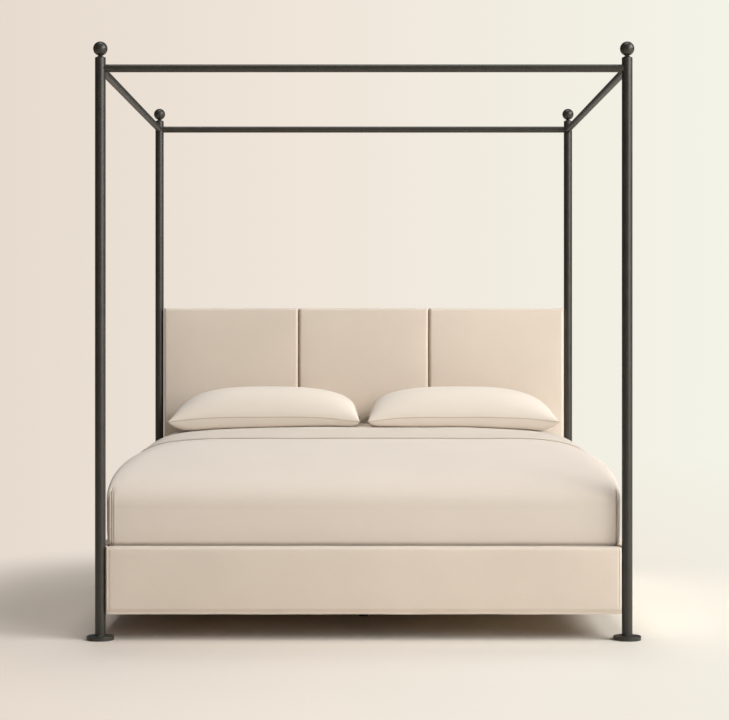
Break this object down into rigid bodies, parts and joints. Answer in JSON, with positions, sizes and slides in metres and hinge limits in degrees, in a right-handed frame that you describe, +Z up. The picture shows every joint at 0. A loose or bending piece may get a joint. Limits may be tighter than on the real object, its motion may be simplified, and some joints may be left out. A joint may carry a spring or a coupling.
{
  "type": "four poster canopy bed",
  "caption": "King-size four-poster bed: slim round steel posts with ball finials, an open canopy frame, upholstered rails and headboard, mattress, coverlet, turned-down sheet and pillows.",
  "frame": {"origin": "on the floor, under the middle of the bed", "axes": "+X to the right as seen from the foot of the bed, +Y towards the headboard, +Z up"},
  "size_m": [2.084, 2.214, 2.248],
  "materials": {
    "black_steel": "satin brown-black powder coat",
    "zinc_steel": "zinc plated",
    "upholstery": "fine cream weave over foam",
    "dust_cloth": "non-woven dust cloth",
    "plywood": "raw plywood",
    "slat_wood": "planed softwood",
    "ticking": "knitted ticking",
    "coverlet_cloth": "smooth cream sateen",
    "sheet_cloth": "smooth cream percale",
    "pillow_cloth": "smooth cream sateen",
    "black_plastic": "moulded"
  },
  "bodies": {
    "bed_frame": {"canopy_rail_front": "black_steel", "canopy_rail_left": "black_steel", "canopy_rail_rear": "black_steel", "canopy_rail_right": "black_steel", "centre_beam": "black_steel", "centre_leg_front": "black_steel", "centre_leg_rear": "black_steel", "corner_bolt_front_left": "zinc_steel", "corner_bolt_front_right": "zinc_steel", "corner_bracket_front_left": "zinc_steel", "corner_bracket_front_right": "zinc_steel", "finial_front_left": "black_steel", "finial_front_right": "black_steel", "finial_rear_left": "black_steel", "finial_rear_right": "black_steel", "finial_set_screw_front_left": "zinc_steel", "finial_set_screw_front_right": "zinc_steel", "finial_set_screw_rear_left": "zinc_steel", "finial_set_screw_rear_right": "zinc_steel", "foot_flange_front_left": "black_steel", "foot_flange_front_right": "black_steel", "foot_flange_rear_left": "black_steel", "foot_flange_rear_right": "black_steel", "foot_rail_core": "plywood", "foot_rail_cover": "upholstery", "headboard_back_cover": "dust_cloth", "headboard_bolt_left": "black_steel", "headboard_bolt_right": "black_steel", "headboard_core": "plywood", "headboard_panel_centre": "upholstery", "headboard_panel_left": "upholstery", "headboard_panel_right": "upholstery", "hook_bracket_rear_left": "zinc_steel", "hook_bracket_rear_right": "zinc_steel", "post_front_left": "black_steel", "post_front_right": "black_steel", "post_rear_left": "black_steel", "post_rear_right": "black_steel", "side_rail_core_left": "plywood", "side_rail_core_right": "plywood", "side_rail_cover_left": "upholstery", "side_rail_cover_right": "upholstery", "slat_01": "slat_wood", "slat_02": "slat_wood", "slat_03": "slat_wood", "slat_04": "slat_wood", "slat_05": "slat_wood", "slat_06": "slat_wood", "slat_07": "slat_wood", "slat_08": "slat_wood", "slat_09": "slat_wood", "slat_ledger_left": "slat_wood", "slat_ledger_right": "slat_wood"},
    "mattress": {"mattress": "ticking"},
    "coverlet": {"coverlet": "coverlet_cloth", "turned_down_sheet": "sheet_cloth"},
    "pillow_left": {"pillow_left": "pillow_cloth"},
    "pillow_right": {"pillow_right": "pillow_cloth"},
    "glide_front": {"levelling_glide_front": "black_plastic"},
    "glide_rear": {"levelling_glide_rear": "black_plastic"}
  },
  "joints": [
    {"name": "mattress_lift", "type": "slide", "parent": "bed_frame", "child": "mattress", "axis": [0, 0, 1], "range_m": [0, 2.05]},
    {"name": "coverlet_lift", "type": "slide", "parent": "mattress", "child": "coverlet", "axis": [0, 0, 1], "range_m": [0, 0.4]},
    {"name": "pillow_left_lift", "type": "slide", "parent": "coverlet", "child": "pillow_left", "axis": [0, 0, 1], "range_m": [0, 0.3]},
    {"name": "pillow_right_lift", "type": "slide", "parent": "coverlet", "child": "pillow_right", "axis": [0, 0, 1], "range_m": [0, 0.3]},
    {"name": "glide_front_screw", "type": "slide", "parent": "bed_frame", "child": "glide_front", "axis": [0, 0, 1], "range_m": [-0.01, 0.012]},
    {"name": "glide_rear_screw", "type": "slide", "parent": "bed_frame", "child": "glide_rear", "axis": [0, 0, 1], "range_m": [-0.01, 0.012]}
  ]
}
